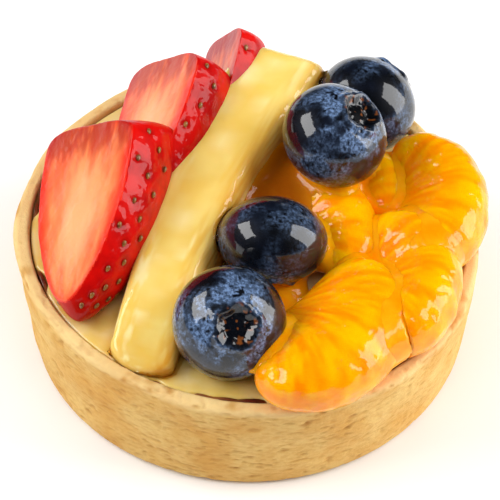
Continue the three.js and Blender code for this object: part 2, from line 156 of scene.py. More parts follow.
def rough_noise(points, size, seed=0, layers=3):
    total = 0
    for layer in range(layers):
        total = total + noise(points, np.array(size) / 2**layer, seed + layer) / 2**layer
    return total / 1.75


# A frame is a place and three directions, as rows.
def frame_at(at, along, facing):
    x = unit(along)
    y = unit(np.cross(facing, x))
    return np.array(at, float), np.array([x, y, np.cross(x, y)])


def to_local(placing, points):
    return (points - placing[0]) @ placing[1].T


def to_tart(placing, points):
    return points @ placing[1] + placing[0]


# The case isn't quite round or level.
def roundness(angle):
    return 1 - 0.016 * np.sin(2 * angle) - 0.012 * np.cos(3 * angle)


def rim_lift(angle):
    return -0.38 * np.cos(angle) - 0.28 * np.cos(2 * angle)


def settle_in_case(points):
    """Fits points of a true round case to the uneven one."""
    angle = angle_of(points)
    share = np.clip((points[..., 2] - FLOOR) / (CRUST_HEIGHT - FLOOR), 0, 1)
    outwards = np.minimum(from_axis(points) / INNER_RADIUS, 1)
    settled = points.copy()
    settled[..., :2] *= lerp(1, roundness(angle), share)[..., None]
    settled[..., 2] += rim_lift(angle) * share * outwards
    return settled


def custard_top(distance):
    return CUSTARD_EDGE_Z + CUSTARD_CROWN * (1 - (distance / INNER_RADIUS) ** 2)


def support_top(points):
    """Height of what soft fruit lies on, the custard or the rim, under each point."""
    angle = angle_of(points)
    distance = from_axis(points) / roundness(angle)
    on_rim = smoothstep(distance, INNER_RADIUS - 2.2, INNER_RADIUS - 0.2)
    level = lerp(custard_top(np.minimum(distance, INNER_RADIUS)), CRUST_HEIGHT, on_rim)
    return level + rim_lift(angle) * np.minimum(distance / INNER_RADIUS, 1)


# Distances to each kind of fruit, in its own frame: below zero inside, and in millimetres near the skin
def berry_distance(berry, p):
    return np.sqrt(p[..., 0] ** 2 + p[..., 1] ** 2 + (p[..., 2] / berry["flat"]) ** 2) - berry["radius"]


WIDEST = 0.2
STEM_BLUNTNESS = 4.2
TIP_TAPER = 1.9
TIP_BLUNTNESS = 0.7


def strawberry_radius(berry, share):
    stem_side = (1 - (1 - np.minimum(share / WIDEST, 1)) ** STEM_BLUNTNESS) ** (1 / STEM_BLUNTNESS)
    tip_side = (1 - np.maximum((share - WIDEST) / (1 - WIDEST), 0) ** TIP_TAPER) ** TIP_BLUNTNESS
    return berry["radius"] * stem_side * tip_side


def strawberry_share(berry, p):
    """How far along its leaning length a point is, from 0 at the stem end to 1 at the tip."""
    leaning = berry["lean"][0] * p[..., 1] + berry["lean"][1] * p[..., 2]
    return (p[..., 0] - leaning) / (berry["length"] - leaning)


def strawberry_distance(berry, p):
    share = strawberry_share(berry, p)
    skin = np.hypot(p[..., 1], p[..., 2]) - strawberry_radius(berry, np.clip(share, 0, 1))
    past_end = np.abs(share - np.clip(share, 0, 1)) * berry["length"]
    skin = np.where(past_end > 0, np.hypot(np.maximum(skin, 0), past_end), 0.9 * skin)
    return np.maximum(skin, p[..., 2] - berry["cut"])


INNER_THINNING = 0.24
INNER_DROOP = 3


def segment_section(turn):
    thick = 1 - INNER_THINNING + INNER_THINNING * np.cos(turn)
    return 1 / np.hypot(np.cos(turn), np.sin(turn) / thick)


def segment_taper(share):
    return np.sqrt(np.maximum(0, 1 - np.abs(share) ** 2.6))


def segment_distance(segment, p):
    bend = angle_of(p)
    span = math.radians(segment["span"])
    out = from_axis(p) - segment["reach"]
    across = out / np.where(out < 0, segment["inner"], segment["width"])
    above = (p[..., 2] + INNER_DROOP * np.minimum(across, 0) ** 2) / segment["height"]
    turn = np.arctan2(above, across)
    past_end = np.maximum(np.abs(bend) - span, 0) * segment["reach"]
    skin = (np.hypot(across, above) / segment_section(turn) - segment_taper(bend / span)) * segment["width"]
    return np.where(past_end > 0, np.hypot(np.maximum(skin, 0), past_end), skin)


PEACH_SQUARENESS = 7


def peach_bow(share):
    """How far the slice's middle line is from straight, at a share of its length."""
    return PEACH["bow"] * np.sin(np.pi * np.clip(share, 0, 1))


def peach_size(share):
    """Half the slice's width, and its height, at a share of its length."""
    at = np.clip(share, 0, 1) * (len(PEACH_HALF_WIDTHS) - 1)
    start = np.minimum(np.floor(at).astype(int), len(PEACH_HALF_WIDTHS) - 2)
    widths = np.array(PEACH_HALF_WIDTHS)
    width = lerp(widths[start], widths[start + 1], smoothstep(at - start, 0, 1))
    front = np.sqrt(1 - (1 - np.minimum(share / 0.04, 1)) ** 2)
    back = np.sqrt(1 - (1 - np.minimum((1 - share) / 0.08, 1)) ** 2)
    rise = 0.15 + 0.85 * (1 - (1 - share) ** 3)
    return width * front * back**0.6, PEACH["height"] * rise * front**0.5 * back


def peach_distance(peach, p):
    along = np.clip(p[..., 0] / peach["length"], 0.002, 0.998)
    half_width, height = peach_size(along)
    across = np.abs(p[..., 1] - peach_bow(along)) / half_width
    above = np.maximum(p[..., 2], 0) / height
    skin = ((across**PEACH_SQUARENESS + above**PEACH_SQUARENESS) ** (1 / PEACH_SQUARENESS) - 1) * half_width
    past_end = np.abs(p[..., 0] - along * peach["length"])
    return np.maximum(np.where(past_end > 0.2, np.hypot(np.maximum(skin, 0), past_end), skin), -p[..., 2])


def place_fruit():
    """Gives every piece of fruit its frame and its distance function."""
    for berry in BERRIES:
        berry["frame"] = frame_at(berry["at"], np.cross((0, 0, 1), berry["calyx"]), berry["calyx"])
        berry["distance"] = berry_distance
    for berry in STRAWBERRIES:
        along = np.subtract(berry["tip"], berry["stem"])
        tilt = math.radians(berry["tilt"])
        berry["length"] = np.linalg.norm(along)
        berry["frame"] = frame_at(berry["stem"], along, (-math.sin(tilt), 0, math.cos(tilt)))
        berry["distance"] = strawberry_distance
    for segment in SEGMENTS:
        bearing = math.radians(segment["bearing"])
        segment["frame"] = frame_at(segment["at"], (math.cos(bearing), math.sin(bearing), 0), (0, 0, 1))
        segment["distance"] = segment_distance
    start = np.array([*PEACH["front"], PEACH_START_Z])
    along = np.array([*PEACH["back"], PEACH_START_Z]) - start
    PEACH["length"] = np.linalg.norm(along)
    PEACH["frame"] = frame_at(start, along, (0, 0, 1))
    PEACH["distance"] = peach_distance


def distance_to(fruit, points):
    return fruit["distance"](fruit, to_local(fruit["frame"], points))


def distance_to_nearest(fruits, points):
    return np.min([distance_to(fruit, points) for fruit in fruits], axis=0)


def press(points, hearts, neighbours):
    """Moves points that are in a neighbour towards their hearts until they are clear of it. Points beside
    them give too, so that a pressed side is a smooth hollow."""
    pressed = points.copy()
    give = np.zeros(points.shape[:-1])
    for step in np.arange(PRESS_STEP, 1, PRESS_STEP):
        held = distance_to_nearest(neighbours, pressed) < TOUCH_GAP
        if not held.any():
            break
        give[held] = step
        pressed[held] = lerp(points[held], hearts[held], step)
    if points.ndim == 3:
        for _ in range(GIVE_ROUNDS):
            for shift, axis in ((1, 0), (-1, 0), (1, 1), (-1, 1)):
                beside = np.roll(give, shift, axis)
                if axis == 0:
                    beside[0 if shift > 0 else -1] = 0
                apart = np.linalg.norm(points - np.roll(points, shift, axis), axis=-1)
                give = np.maximum(give, beside - GIVE_FALL * apart)
        pressed = lerp(points, hearts, give[..., None])
    return pressed, give


# Meshes
def make_piece(name, points, quads, triangles, material, slot):
    """A mesh object from points in millimetres, facing outwards and shaded smooth."""
    mesh = bpy.data.meshes.new(name)
    corners = np.concatenate([quads.ravel(), triangles.ravel()]).astype(np.int32)
    sizes = np.concatenate([np.full(len(quads), 4), np.full(len(triangles), 3)])
    starts = np.concatenate([[0], np.cumsum(sizes)[:-1]]).astype(np.int32)
    mesh.vertices.add(len(points))
    mesh.vertices.foreach_set("co", (points * MM).astype(np.float32).ravel())
    mesh.loops.add(len(corners))
    mesh.loops.foreach_set("vertex_index", corners)
    mesh.polygons.add(len(sizes))
    mesh.polygons.foreach_set("loop_start", starts)
    mesh.update(calc_edges=True)
    mesh.validate()
    if signed_volume(points, quads, triangles) < 0:
        mesh.flip_normals()
    mesh.shade_smooth()
    mesh.materials.append(material)
    piece = bpy.data.objects.new(name, mesh)
    bpy.context.scene.collection.objects.link(piece)
    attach(piece, "root")
    return piece


def signed_volume(points, quads, triangles):
    all_triangles = np.concatenate([quads[:, :3], quads[:, [0, 2, 3]], triangles])
    a, b, c = (points[all_triangles[:, i]] for i in range(3))
    return np.sum(np.cross(a, b) * c) / 6


def paint(piece, **values):
    """Puts numbers on a piece's points, for its material to read by name."""
    for name, value in values.items():
        layer = piece.data.attributes.new(name, "FLOAT", "POINT")
        layer.data.foreach_set("value", np.asarray(value, np.float32).ravel())


def loft_faces(rings, sides):
    """Quads between closed rings of points, and triangles to the one point at either end."""
    side = np.arange(sides)
    ahead = (side + 1) % sides
    ring = 1 + sides * np.arange(rings)[:, None]
    near, far = ring[:-1], ring[1:]
    quads = stack(near + side, near + ahead, far + ahead, far + side).reshape(-1, 4)
    last = 1 + rings * sides
    first_fan = stack(0, 1 + ahead, 1 + side)
    last_fan = stack(last, ring[-1] + side, ring[-1] + ahead)
    return quads, np.concatenate([first_fan, last_fan])


def loft(name, first, rings, last, material, slot):
    """A closed piece through rings of points, an array of rings by sides by three."""
    points = np.concatenate([[first], rings.reshape(-1, 3), [last]])
    return make_piece(name, points, *loft_faces(*rings.shape[:2]), material, slot)


def paint_loft(piece, **values):
    """Paints a loft from arrays of rings by sides, with 0 for the point at either end."""
    for name, value in values.items():
        paint(piece, **{name: np.concatenate([[0.0], np.ravel(value), [0.0]])})


def turned(profile, sides):
    """Rings of points from a profile of radius and height turned about Z."""
    angle = turns(sides)
    radius, height = profile[:, 0][:, None], profile[:, 1][:, None]
    return stack(radius * np.cos(angle), radius * np.sin(angle), height)


def arc(radius, height, size, start, steps):
    a = np.radians(np.linspace(start, start + 90, steps))
    return stack(radius + size * np.cos(a), height + size * np.sin(a))


def line(start, end, steps):
    """Points from start to end, without either of them."""
    share = np.linspace(0, 1, steps + 2)[1:-1, None]
    return lerp(np.array(start, float), np.array(end, float), share)


# Materials
class Shader:
    """A material's nodes, joined up by short calls."""

    def __init__(self, name):
        self.material = bpy.data.materials.new(name)
        self.material.use_nodes = True
        self.nodes = self.material.node_tree.nodes
        self.links = self.material.node_tree.links
        self.surface = self.nodes["Principled BSDF"]
        self.place = self.node("TexCoord").outputs["Object"]

    def put(self, value, socket):
        if isinstance(value, bpy.types.NodeSocket):
            self.links.new(value, socket)
        else:
            socket.default_value = value

    def fill(self, node, **inputs):
        for name, value in inputs.items():
            self.put(value, node.inputs[name.replace("_", " ")])
        return node

    def node(self, kind, **inputs):
        return self.fill(self.nodes.new("ShaderNode" + kind), **inputs)

    def value(self, name):
        node = self.node("Attribute")
        node.attribute_name = name
        return node.outputs["Fac"]

    def grain(self, size, detail=3.0, stretch=(1, 1, 1), rough=0.5):
        """Noise with blobs about size millimetres across, longer along an axis by its stretch."""
        scale = [1 / (size * MM * s) for s in stretch]
        place = self.node("Mapping", Vector=self.place, Scale=scale).outputs["Vector"]
        return self.node("TexNoise", Vector=place, Scale=1.0, Detail=detail, Roughness=rough).outputs["Fac"]

    def range(self, value, low, high):
        """0 where a value is at or below low, and 1 at or above high."""
        node = self.node("MapRange", Value=value, From_Min=low, From_Max=high)
        node.interpolation_type = "SMOOTHSTEP"
        return node.outputs["Result"]

    def patches(self, size, detail=3.0):
        return self.range(self.grain(size, detail), 0.35, 0.7)

    def mix(self, share, a, b):
        """Mixes two colours, sockets or web colours, by a socket or by the numbers painted under a name."""
        node = self.node("Mix")
        node.data_type = "RGBA"
        self.put(self.value(share) if isinstance(share, str) else share, node.inputs["Factor"])
        for part, socket in zip((a, b), [s for s in node.inputs if s.type == "RGBA"]):
            self.put(colour(part) if isinstance(part, str) else part, socket)
        return [s for s in node.outputs if s.type == "RGBA"][0]

    def maths(self, operation, a, b):
        node = self.node("Math")
        node.operation = operation
        self.put(a, node.inputs[0])
        self.put(b, node.inputs[1])
        return node.outputs[0]

    def bump(self, height, distance):
        return self.node("Bump", Height=height, Distance=distance * MM).outputs["Normal"]

    def finish(self, colour, roughness, **settings):
        self.fill(self.surface, Base_Color=colour, Roughness=roughness, **settings)
        return self.material


def colour(code):
    """A shader's linear colour from a six-figure web colour."""
    parts = [int(code[i:i + 2], 16) / 255 for i in (0, 2, 4)]
    linear = [c / 12.92 if c <= 0.04045 else ((c + 0.055) / 1.055) ** 2.4 for c in parts]
    return (*linear, 1.0)


def coated(waves, weight, roughness):
    """Settings for a wet coat with waves of its own."""
    return dict(Coat_Normal=waves, Coat_Weight=weight, Coat_Roughness=roughness)


def soaked(weight, depth, spread):
    """Settings for light that soaks in: its share, depth in millimetres and spread in red, green and blue."""
    return dict(Subsurface_Weight=weight, Subsurface_Scale=depth * MM, Subsurface_Radius=spread)


def crust_material():
    shader = Shader("baked_pastry")
    speckle = shader.range(shader.grain(0.9, 3, (1.6, 1.6, 0.7)), 0.4, 0.68)
    base = shader.mix(shader.patches(9, 4), "E7C074", "DAA452")
    base = shader.mix(shader.maths("MULTIPLY", speckle, 0.35), base, "CA8C3C")
    base = shader.mix("pale", base, "F3D79C")
    # Painted shade darkens the crust's pits; the toasted flecks along the rim are real browning.
    base = shader.mix("browned", base, "B97A35")
    crumb = shader.bump(shader.grain(0.35, 4, (1.5, 1.5, 0.8), 0.65), 0.16)
    return shader.finish(base, 0.78, Normal=crumb, Specular_IOR_Level=0.3,
                         **soaked(0.12, 1.2, (1.0, 0.55, 0.25)))


def chocolate_material():
    shader = Shader("dark_chocolate")
    base = shader.mix(shader.patches(2.2), "4A1A0C", "6E2A14")
    base = shader.mix("thin", base, "B87A38")
    ripples = shader.bump(shader.grain(0.8), 0.12)
    return shader.finish(base, 0.3, Normal=ripples, Coat_Weight=0.6, Coat_Roughness=0.12)


def custard_material():
    shader = Shader("set_custard")
    base = shader.mix(shader.range(shader.grain(6, 3), 0.35, 0.68), "F8E2A4", "F2D274")
    # Painted shade: the custard goes darker beside the fruit and towards the case wall.
    base = shader.mix("deep", base, "E2B040")
    wet = shader.bump(shader.grain(2.4, 2), 0.1)
    return shader.finish(base, 0.34, Normal=wet,
                         **coated(wet, 0.8, 0.07), **soaked(0.4, 2.0, (1.0, 0.7, 0.3)))


def strawberry_skin_material():
    shader = Shader("strawberry_skin")
    base = shader.mix(shader.patches(4.5), "D40A04", "AE0204")
    # Painted shade in the dimples round the seeds.
    base = shader.mix("dimple", base, "820204")
    base = shader.mix("tip", base, "A81004")
    wet = shader.bump(shader.grain(2.6, 1.5), 0.6)
    return shader.finish(base, 0.5, Specular_IOR_Level=0.05,
                         **coated(wet, 0.35, 0.04), **soaked(0.12, 1.2, (1.0, 0.1, 0.06)))


def strawberry_flesh_material():
    shader = Shader("strawberry_flesh")
    base = shader.mix("streaks", "FF8E54", "F65A30")
    base = shader.mix("heart", base, "FFB27A")
    base = shader.mix("edge", base, "E02C18")
    base = shader.mix("dark", base, "A60C0C")
    wet = shader.bump(shader.grain(0.9, 3), 0.08)
    return shader.finish(base, 0.35, Normal=wet, Specular_IOR_Level=0.1,
                         **coated(wet, 0.4, 0.12), **soaked(0.3, 1.4, (1.0, 0.35, 0.2)))


def seed_material():
    shader = Shader("strawberry_seed")
    base = shader.mix(shader.patches(0.7), "9C6420", "5A300E")
    return shader.finish(base, 0.4, Coat_Weight=0.6, Coat_Roughness=0.1)


def peach_material():
    shader = Shader("peach_flesh")
    base = shader.mix(shader.patches(7), "F2D67A", "ECCA68")
    base = shader.mix("streaks", base, "EEC24C")
    # Amber: painted shade on the slice's right side, low down and where berries press, stronger along real
    # amber fibres.
    base = shader.mix("amber", base, "D8942A")
    # Painted highlights: pale patches on the slice's lit top face.
    base = shader.mix("pale", base, "FBE8A8")
    wet = shader.bump(shader.grain(3.4, 1.5), 0.5)
    return shader.finish(base, 0.45, Specular_IOR_Level=0.1,
                         **coated(wet, 0.9, 0.03), **soaked(0.4, 2.4, (1.0, 0.65, 0.25)))


def mandarin_material():
    shader = Shader("mandarin_flesh")
    base = shader.mix("sacs", "FA8A00", "FFB200")
    # Painted shade on the segments' hollow inner sides, low flanks and pressed places.
    base = shader.mix("deep", base, "F07C00")
    fine = shader.bump(shader.grain(1.2, 2), 0.15)
    wet = shader.bump(shader.grain(3.2, 1.5), 0.75)
    return shader.finish(base, 0.45, Normal=fine, Specular_IOR_Level=0.02,
                         **coated(wet, 0.75, 0.03), **soaked(0.5, 2.4, (1.0, 0.42, 0.05)))


def blueberry_material():
    shader = Shader("blueberry_skin")
    fine = shader.range(shader.grain(0.55, 5, rough=0.7), 0.42, 0.66)
    bloom = shader.maths("MULTIPLY", shader.value("bloom"), shader.maths("ADD", fine, 0.25))
    base = shader.mix(shader.patches(5), "05070C", "0C1220")
    base = shader.mix(bloom, base, "6A84AC")
    # Darker inside the crown's sunken pit.
    base = shader.mix("stain", base, "040508")
    base = shader.mix("brown", base, "7A4218")
    wet = shader.bump(shader.grain(1.6, 3), 0.04)
    return shader.finish(base, 0.45, Normal=wet, Specular_IOR_Level=0.1, **coated(wet, 1.0, 0.05))


def glaze_material():
    shader = Shader("clear_glaze")
    tint = shader.mix(shader.patches(4), "FFE9B8", "FFD98C")
    return shader.finish(tint, 0.03, Transmission_Weight=1.0, IOR=1.2)


def juice_material():
    shader = Shader("amber_juice")
    tint = shader.mix(shader.patches(5, 2), "FFA40A", "FA9000")
    # Darker in the pool between the peach and the top blueberry: deeper amber of thick juice, and painted
    # shade in that crevice.
    tint = shader.mix("deep", tint, "9A4E04")
    wet = shader.bump(shader.grain(2.5, 2), 0.12)
    return shader.finish(tint, 0.3, Normal=wet, Specular_IOR_Level=0.05,
                         **coated(wet, 0.6, 0.04), **soaked(0.5, 2.4, (1.0, 0.42, 0.05)))


def floor_material():
    shader = Shader("white_table")
    base = shader.mix(shader.range(shader.grain(60, 4), 0.3, 0.7), "FAFAFA", "F7F7F6")
    return shader.finish(base, 0.6, Specular_IOR_Level=0.2)


# The pastry case
CRUST_SIDES = 720
WALL_STEPS = 66


def crust_profile():
    wall_top = (RIM_RADIUS, CRUST_HEIGHT - RIM_ROUND)
    inner_top = (INNER_RADIUS, CRUST_HEIGHT - RIM_EDGE)
    return np.concatenate([
        line((0, 0), (BASE_RADIUS - BASE_ROUND, 0), 26),
        arc(BASE_RADIUS - BASE_ROUND, BASE_ROUND, BASE_ROUND, -90, 10),
        line((BASE_RADIUS, BASE_ROUND), wall_top, WALL_STEPS),
        arc(RIM_RADIUS - RIM_ROUND, CRUST_HEIGHT - RIM_ROUND, RIM_ROUND, 0, 7),
        line((RIM_RADIUS - RIM_ROUND, CRUST_HEIGHT), (INNER_RADIUS + RIM_EDGE, CRUST_HEIGHT), 3),
        arc(INNER_RADIUS + RIM_EDGE, CRUST_HEIGHT - RIM_EDGE, RIM_EDGE, 90, 5),
        line(inner_top, (BASE_RADIUS - WALL, FLOOR), 8),
        line((BASE_RADIUS - WALL, FLOOR), (0, FLOOR), 5),
    ])


def profile_normals(profile):
    """Outward normals of a profile that runs from the axis, under and round the case, to the axis."""
    tangent = np.gradient(profile, axis=0)
    normal = stack(tangent[:, 1], -tangent[:, 0])
    return normal / np.linalg.norm(normal, axis=1)[:, None]


def crust_waves(points):
    """The slow waves of the solid's outside, as millimetres outwards."""
    angle = angle_of(points)
    z = points[..., 2]
    waves = np.sin(5 * angle + 0.5 * z) + np.sin(9 * angle - 0.7 * z) + np.sin(14 * angle + 0.4 * z)
    outside = smoothstep(from_axis(points), INNER_RADIUS + 0.3, INNER_RADIUS + 1)
    return 0.12 * waves * smoothstep(z, 0.5, 4) * outside


def make_crust(material):
    profile = crust_profile()
    points = turned(profile, CRUST_SIDES)
    radial = points * (1, 1, 0) / from_axis(points)[..., None]
    normals = profile_normals(profile)
    outwards = radial * normals[:, 0][:, None, None] + np.array([0, 0, 1]) * normals[:, 1][:, None, None]
    outer = smoothstep(from_axis(points), INNER_RADIUS - 0.6, INNER_RADIUS + 0.6)
    under = smoothstep(points[..., 2], -0.1, 1.2)
    small_pits = smoothstep(noise(points, (1.3, 1.3, 0.42), 1), 0.3, 0.8)
    large_pits = smoothstep(rough_noise(points, (2.8, 2.8, 0.9), 4), 0.3, 0.7)
    grain = rough_noise(points, (0.9, 0.9, 0.6), 8)
    relief = 0.05 * grain - 0.22 * small_pits - 0.34 * large_pits
    relief = relief * outer * lerp(0.35, 1, under)
    moved = points + outwards * relief[..., None] + radial * crust_waves(points)[..., None]
    piece = loft("crust_pastry", (0, 0, 0), settle_in_case(moved), (0, 0, FLOOR), material, "crust")
    rim = smoothstep(points[..., 2], CRUST_HEIGHT - 1.6, CRUST_HEIGHT - 0.3)
    toasted = rim * smoothstep(rough_noise(points, (3.5, 3.5, 1.4), 14), 0.2, 0.6)
    # Painted shade: pits are darkened as if shadowed. The toasted flecks on the rim are real browning.
    browned = 0.4 * small_pits * (1 - 0.5 * rim) + 0.6 * large_pits + 0.5 * toasted
    paint_loft(piece, browned=np.clip(browned, 0, 0.9), pale=0.55 * rim * (1 - toasted) * (1 - large_pits))
    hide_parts("crust")


# The layers in the case
def inner_wall_radius(z):
    return lerp(BASE_RADIUS - WALL, INNER_RADIUS, (z - FLOOR) / (CRUST_HEIGHT - RIM_EDGE - FLOOR))


LAYER_SIDES = 330

# Where the chocolate shows as a wider blob: bearing in degrees, half-width in degrees, millimetres
CHOCOLATE_BLOBS = [(-95, 5, 0.25), (-88, 3, 0.35), (-103, 4, 0.2), (-53, 8, 1.7), (-47, 5, 0.9),
                   (163, 5, 0.4), (172, 4, 0.25), (-163, 5, 0.3), (-115, 4, 0.2)]


def chocolate_swell(angle):
    """How much further in the chocolate reaches at the custard's edge, by direction."""
    degrees = np.degrees(angle)
    around = stack(20 * np.cos(angle), 20 * np.sin(angle), 0)
    swell = 0.14 * np.maximum(rough_noise(around, 2.4, 21), 0)
    for bearing, width, size in CHOCOLATE_BLOBS:
        away = (degrees - bearing + 180) % 360 - 180
        swell = swell + size * np.exp(-((away / width) ** 2))
    return swell


# How much lower the chocolate's top edge is where the custard hides it
BARE_DROP = 0.9


def bare_share(angle):
    """1 where the custard hides the chocolate's top edge, 0 where the chocolate shows."""
    return 1 - smoothstep(chocolate_swell(angle), 0.1, 0.3)


def make_lining(material):
    top = CUSTARD_EDGE_Z + 0.2
    bottom = FLOOR + LAYER_GAP
    outer_top = inner_wall_radius(top) - LAYER_GAP
    outer_bottom = inner_wall_radius(bottom) - LAYER_GAP
    low_inner = inner_wall_radius(bottom + LINING) - LAYER_GAP - LINING
    profile = np.concatenate([
        line((0, bottom), (outer_bottom, bottom), 5),
        line((outer_bottom, bottom), (outer_top, top), 20),
        line((outer_top, top), (outer_top - LINING, top), 5),
        line((outer_top - LINING, top), (low_inner, bottom + LINING), 20),
        line((low_inner, bottom + LINING), (0, bottom + LINING), 5),
    ])
    points = turned(profile, LAYER_SIDES)
    angle = angle_of(points)
    high = smoothstep(points[..., 2], top - 3, top)
    from_wall = (outer_top - profile[:, 0][:, None]) / LINING
    swell = chocolate_swell(angle)
    inwards = np.clip(from_wall, 0, 1) * high * swell
    points[..., :2] *= (1 - inwards / INNER_RADIUS)[..., None]
    points[..., 2] += high * (0.12 * rough_noise(points, 2.2, 23) + 0.15 * np.minimum(swell, 1))
    points[..., 2] -= BARE_DROP * high * bare_share(angle)
    piece = loft("chocolate_coat", (0, 0, bottom), settle_in_case(points), (0, 0, bottom + LINING), material,
                 "chocolate")
    paint_loft(piece, thin=0.85 * bare_share(angle))
    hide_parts("chocolate_lining")


# The custard sinks under the fruit by small steps.
SINK_STEP = 0.15
SINK_ROUNDS = 60


def make_custard(material):
    bottom = FLOOR + 2 * LAYER_GAP + LINING
    inset = 2 * LAYER_GAP + LINING
    edge = CUSTARD_EDGE_Z - CUSTARD_EDGE_ROUND
    low = (inner_wall_radius(bottom) - inset, bottom)
    high = (inner_wall_radius(edge) - inset, edge)
    rim = (inner_wall_radius(CUSTARD_EDGE_Z) - inset - CUSTARD_EDGE_ROUND, CUSTARD_EDGE_Z)
    top = np.linspace(rim[0], 0.4, 90)
    profile = np.concatenate([
        line((0, bottom), low, 5),
        line(low, high, 14),
        arc(rim[0], edge, CUSTARD_EDGE_ROUND, 0, 5)[:-1],
        stack(top, custard_top(top)),
    ])
    points = turned(profile, LAYER_SIDES)
    angle = angle_of(points)
    near_edge = smoothstep(from_axis(points), rim[0] - 5, rim[0])
    upper = smoothstep(points[..., 2], CUSTARD_EDGE_Z - 2, CUSTARD_EDGE_Z - 0.5)
    spread = (LINING + LAYER_GAP) * bare_share(angle) - chocolate_swell(angle) * (1 - bare_share(angle))
    points[..., :2] *= (1 + spread * near_edge * upper / INNER_RADIUS)[..., None]
    points[..., 2] += upper * (0.16 * rough_noise(points, 7, 31) + 0.04 * noise(points, 1.5, 33))
    settled = settle_in_case(points)
    for _ in range(SINK_ROUNDS):
        held = (distance_to_nearest(BERRIES + STRAWBERRIES + SEGMENTS, settled) < TOUCH_GAP) & (upper > 0.5)
        settled[held] -= (0, 0, SINK_STEP)
    piece = loft("custard_filling", (0, 0, bottom), settled, (0, 0, custard_top(0)), material, "custard")
    # Painted shade: darker where the custard meets the fruit and near the wall of the case.
    near_fruit = distance_to_nearest([PEACH] + BERRIES + STRAWBERRIES + SEGMENTS, settled)
    paint_loft(piece, deep=0.6 * (1 - smoothstep(near_fruit, 0, 2.5)) + 0.35 * near_edge)
    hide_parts("custard")


# The blueberries
BERRY_SIDES = 180
CROWN_ANGLE = 23
CROWN_SPREAD = 5
CROWN_RISE = 0.6
CROWN_PIT = 1.3
CROWN_LOBES = 5


def make_blueberry(berry, seed, material):
    polar = np.radians(np.concatenate([np.arange(1.2, 36, 0.8), np.arange(36, 179, 2.2)]))[:, None]
    turn = turns(BERRY_SIDES)
    ray = stack(np.sin(polar) * np.cos(turn), np.sin(polar) * np.sin(turn), np.cos(polar))
    ball = ray * berry["radius"]
    degrees = np.degrees(polar)
    lobes = 0.5 + 0.5 * np.cos(CROWN_LOBES * turn)
    jagged = rough_noise(ball, 1.3, seed)
    edge = CROWN_ANGLE + 2.4 * (lobes - 0.5) + 1.8 * jagged
    crown = np.exp(-(((degrees - edge) / np.where(degrees < edge, 3.2, CROWN_SPREAD)) ** 2))
    inside = 1 - smoothstep(degrees, edge - 10, edge - 2)
    wrinkles = noise(ball, 0.7, seed + 3) * np.exp(-(((degrees - 16) / 9) ** 2))
    slow = noise(ball, 5, seed + 5)
    out = berry["radius"] + CROWN_RISE * crown * (0.45 + 0.55 * lobes + 0.35 * jagged)
    out = out - CROWN_PIT * inside + 0.14 * wrinkles + 0.1 * slow * smoothstep(degrees, 30, 45)
    rings = ray * out[..., None] * (1, 1, berry["flat"])
    top = (berry["radius"] - CROWN_PIT) * berry["flat"]
    bottom = -berry["radius"] * berry["flat"]
    first, last = to_tart(berry["frame"], np.array([(0, 0, top), (0, 0, bottom)]))
    piece = loft(berry["name"] + "_skin", first, to_tart(berry["frame"], rings), last, material, "blueberry")
    dust = smoothstep(rough_noise(rings, 4.5, seed + 7), -0.15, 0.55)
    specks = 1 - smoothstep(noise(rings, 0.55, seed + 10), 0.3, 0.5)
    scratches = smoothstep(np.abs(noise(rings, (0.5, 2.4, 2.4), seed + 9)), 0.0, 0.1)
    bloom = dust * scratches * specks * smoothstep(degrees, 14, 30)
    rim_dust = 0.55 * np.exp(-(((degrees - edge - 1) / 2.5) ** 2)) * lobes
    in_crown = 1 - smoothstep(degrees, edge - 4, edge + 1)
    brown = smoothstep(noise(rings, 0.6, seed + 11), 0.4, 0.65) * in_crown
    # Darker inside the sunken crown, fading out past its edge.
    stain = (1 - smoothstep(degrees, edge - 3, edge + 4)) * 0.7
    collar = np.exp(-(((degrees - 38) / 13) ** 2)) * specks * smoothstep(dust + 0.4 * jagged, 0, 0.5)
    dusted = np.clip(berry["dusty"] * (0.7 * bloom + rim_dust + collar), 0, 1)
    paint_loft(piece, bloom=dusted, brown=0.85 * brown, stain=stain)
    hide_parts(berry["name"])


# The strawberry halves
STRAWBERRY_RINGS = 150
STRAWBERRY_SIDES = 164
CUT_EDGE = 0.25
SEED_HALF_LENGTH = 0.58
SEED_HALF_WIDTH = 0.38
SEED_HALF_THICKNESS = 0.28
SEED_SUNK = 0.1
SEEDS_ROUND = 140
SEED_TURN = math.pi * (3 - math.sqrt(5))
SEED_CLEAR = 1.2
DIMPLE_DEPTH = 0.3
DIMPLE_SIZE = 0.85


def eased_shares(rings):
    """Shares from 0 to 1, without either, that lie closer together near the ends."""
    return (1 - np.cos(np.pi * (np.arange(rings) + 1) / (rings + 1)))[:, None] / 2


def strawberry_skin(berry, share, turn):
    radius = strawberry_radius(berry, share)
    y, z = radius * np.cos(turn), radius * np.sin(turn)
    x = share * berry["length"] + (1 - share) * (berry["lean"][0] * y + berry["lean"][1] * z)
    return stack(x, y, z)


def seed_frames(berry, others):
    """The places of the seeds that show, in the strawberry's own frame."""
    frames = []
    for i in range(SEEDS_ROUND):
        share = lerp(0.06, 0.95, (i + 0.5) / SEEDS_ROUND) ** 0.9
        turn = i * SEED_TURN
        at = strawberry_skin(berry, np.array(share), np.array(turn))
        world = to_tart(berry["frame"], at)
        if at[2] > berry["cut"] - 0.9 or world[2] < support_top(world) + 1:
            continue
        if distance_to_nearest(others, world) < SEED_CLEAR:
            continue
        ahead = strawberry_skin(berry, np.array(share + 0.01), np.array(turn)) - at
        frames.append(frame_at(at, ahead, (0, math.cos(turn), math.sin(turn))))
    return frames


def seed_rings():
    """One seed's points: an oval along X that is narrower at one end."""
    along = np.cos(np.linspace(0, np.pi, 9)[1:-1])[:, None]
    turn = turns(10)
    wide = np.sqrt(1 - along**2) * (1 - 0.25 * along)
    return stack(SEED_HALF_LENGTH * along, SEED_HALF_WIDTH * wide * np.cos(turn),
                 SEED_HALF_THICKNESS * wide * np.sin(turn))


